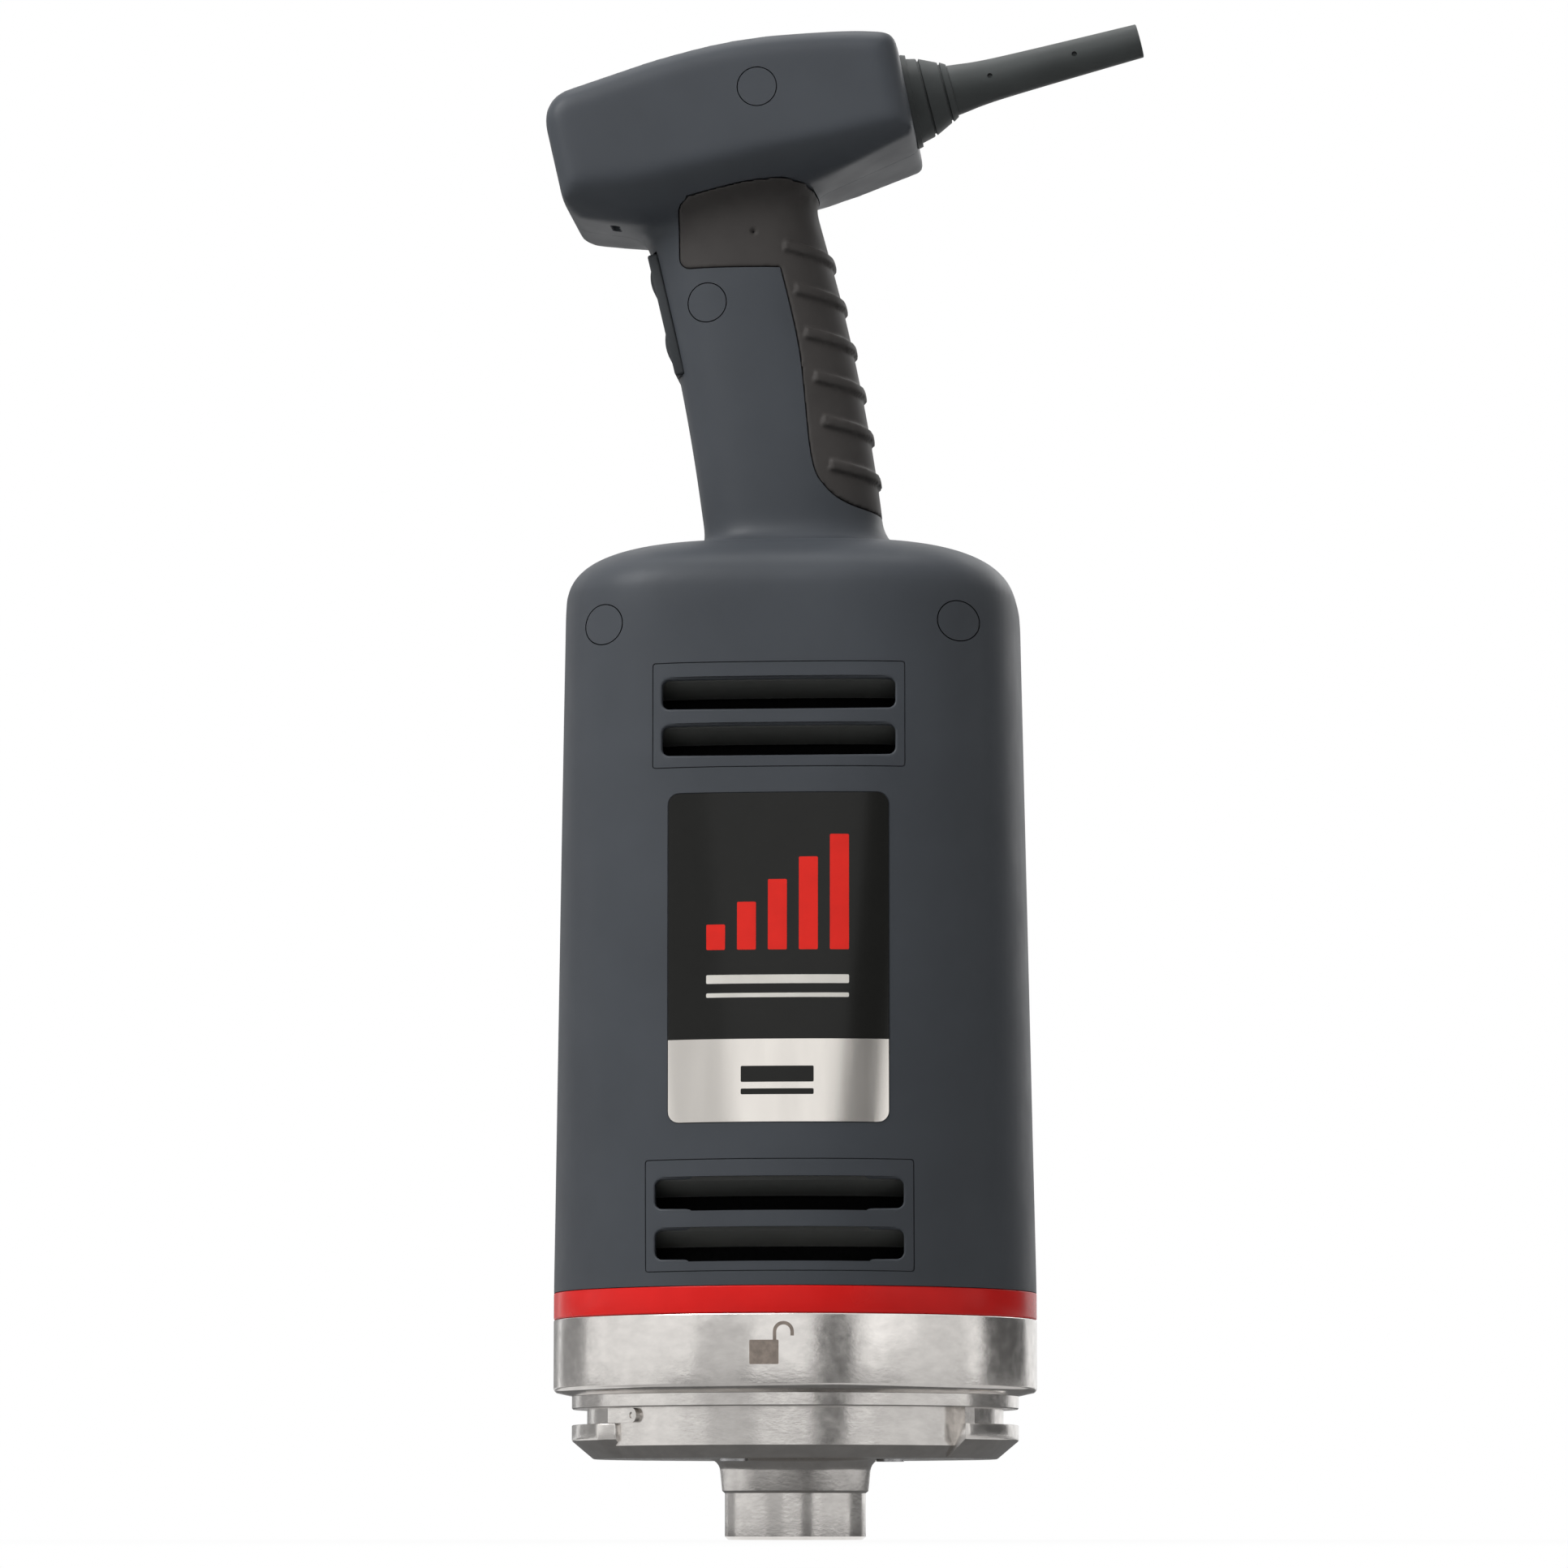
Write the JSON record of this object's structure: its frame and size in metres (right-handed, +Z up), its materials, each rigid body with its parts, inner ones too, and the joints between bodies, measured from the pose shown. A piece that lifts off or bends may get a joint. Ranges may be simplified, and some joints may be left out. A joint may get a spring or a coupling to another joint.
{
  "type": "stick blender motor unit",
  "caption": "Motor unit of a commercial stick blender: pistol grip with start trigger and lock button, vented housing, bayonet flange and drive socket.",
  "frame": {"origin": "centre of the drive socket's mouth, on the drive axis, in the plane of the nose's end", "axes": "+Z up the drive shaft towards the handle, +X towards the cord guard, -Y towards the label"},
  "size_m": [0.1699, 0.1362, 0.4328],
  "materials": {
    "housing": "fine textured slate grey",
    "grip_rubber": "soft matt brown black",
    "button_plastic": "matt dark grey",
    "label_black": "gloss printed film",
    "label_silver": "satin metallised film",
    "red_trim": "semi gloss red",
    "cast_metal": "polished casting",
    "frame_metal": "raw die casting",
    "steel": "ground steel",
    "laminations": "stacked sheet steel",
    "copper": "varnished copper",
    "brass": "pressed brass",
    "carbon": "pressed carbon",
    "inner_plastic": "moulded black nylon",
    "insulation": "phenolic sheet",
    "board": "solder mask green",
    "component": "moulded case",
    "guard_rubber": "matt grey rubber",
    "seal_rubber": "black nitrile",
    "lead_wire": "silicone sleeve"
  },
  "bodies": {
    "housing": {"front_shell": "housing", "back_shell": "housing", "screw_plugs": "housing", "grip_pad": "grip_rubber", "button_bezel": "button_plastic", "label_film": "label_black", "label_foil": "label_silver", "trim_ring": "red_trim", "base_ring": "cast_metal", "coupling_flange": "cast_metal", "motor_bell": "frame_metal", "upper_bracket": "frame_metal", "heat_sink": "frame_metal", "housing_screws": "steel", "flange_screws": "steel", "bell_screws": "steel", "lower_bearing_outer": "steel", "upper_bearing_outer": "steel", "bearing_balls": "steel", "through_bolts": "steel", "brush_springs": "steel", "clamp_screws": "steel", "stator_core": "laminations", "field_windings": "copper", "brush_holders": "brass", "carbon_brushes": "carbon", "air_baffle": "inner_plastic", "board_carrier": "inner_plastic", "switch_carrier": "inner_plastic", "start_switch": "inner_plastic", "lock_switch": "inner_plastic", "cord_clamp": "inner_plastic", "brush_plate": "insulation", "control_board": "board", "filter_capacitor": "component", "terminal_block": "component", "strain_relief": "guard_rubber", "base_seal": "seal_rubber", "shaft_seal": "seal_rubber", "motor_leads": "lead_wire"},
    "rotor": {"motor_shaft": "steel", "drive_dog": "steel", "dog_pin": "steel", "lower_bearing_inner": "steel", "upper_bearing_inner": "steel", "cooling_fan": "inner_plastic", "armature_core": "laminations", "armature_windings": "copper", "commutator": "copper"},
    "start_trigger": {"start_trigger": "button_plastic", "trigger_spring": "steel"},
    "lock_button": {"lock_button": "button_plastic", "lock_spring": "steel"}
  },
  "joints": [
    {"name": "motor_spin", "type": "hinge", "parent": "housing", "child": "rotor", "pos_m": [0, 0, 0], "axis": [0, 0, 1], "continuous": true},
    {"name": "trigger_press", "type": "slide", "parent": "housing", "child": "start_trigger", "axis": [0.9739, 0, 0.2268], "range_m": [0, 0.002], "stiffness_N_per_m": 900, "springref_m": -0.001, "deforming": ["trigger_spring"]},
    {"name": "lock_press", "type": "slide", "parent": "housing", "child": "lock_button", "axis": [0.9739, 0, 0.2268], "range_m": [0, 0.0018], "stiffness_N_per_m": 900, "springref_m": -0.001, "deforming": ["lock_spring"]}
  ]
}
